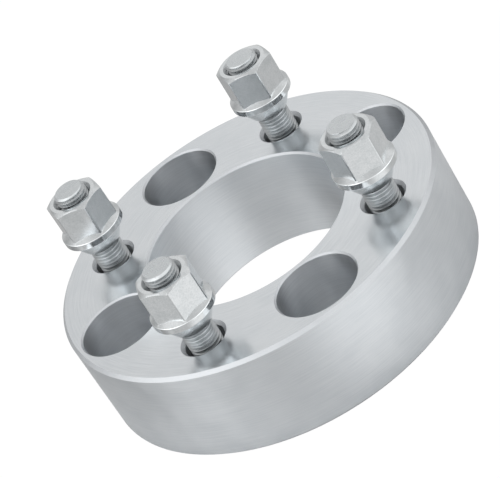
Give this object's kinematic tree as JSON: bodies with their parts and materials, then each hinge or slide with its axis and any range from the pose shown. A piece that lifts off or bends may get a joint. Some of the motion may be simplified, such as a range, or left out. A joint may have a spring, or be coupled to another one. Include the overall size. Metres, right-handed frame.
{
  "type": "bolt-on wheel spacer",
  "caption": "Thick round alloy spacer that bolts to a wheel hub through deep nut pockets and carries the wheel on pressed-in studs with conical-seat lug nuts.",
  "frame": {"origin": "centre of the back face, the one that sits on the hub", "axes": "+Z along the hub axis, out of the front face towards the wheel; +X through the first stud, +Y through the second"},
  "size_m": [0.146, 0.146, 0.0713],
  "materials": {
    "machined_alloy": "satin machined aluminium with fine turning marks",
    "stud_steel": "zinc plated steel",
    "nut_plate": "bright plated steel"
  },
  "bodies": {
    "spacer": {"spacer_ring": "machined_alloy", "wheel_stud_1": "stud_steel", "wheel_stud_2": "stud_steel", "wheel_stud_3": "stud_steel", "wheel_stud_4": "stud_steel"},
    "nut_1": {"lug_nut_1": "nut_plate"},
    "nut_2": {"lug_nut_2": "nut_plate"},
    "nut_3": {"lug_nut_3": "nut_plate"},
    "nut_4": {"lug_nut_4": "nut_plate"}
  },
  "joints": [
    {"name": "nut_1_thread", "type": "slide", "parent": "spacer", "child": "nut_1", "axis": [0, 0, 1], "range_m": [-0.0074, 0.0255]},
    {"name": "nut_2_thread", "type": "slide", "parent": "spacer", "child": "nut_2", "axis": [0, 0, 1], "range_m": [-0.009, 0.0239]},
    {"name": "nut_3_thread", "type": "slide", "parent": "spacer", "child": "nut_3", "axis": [0, 0, 1], "range_m": [-0.0079, 0.025]},
    {"name": "nut_4_thread", "type": "slide", "parent": "spacer", "child": "nut_4", "axis": [0, 0, 1], "range_m": [-0.0074, 0.0255]}
  ]
}
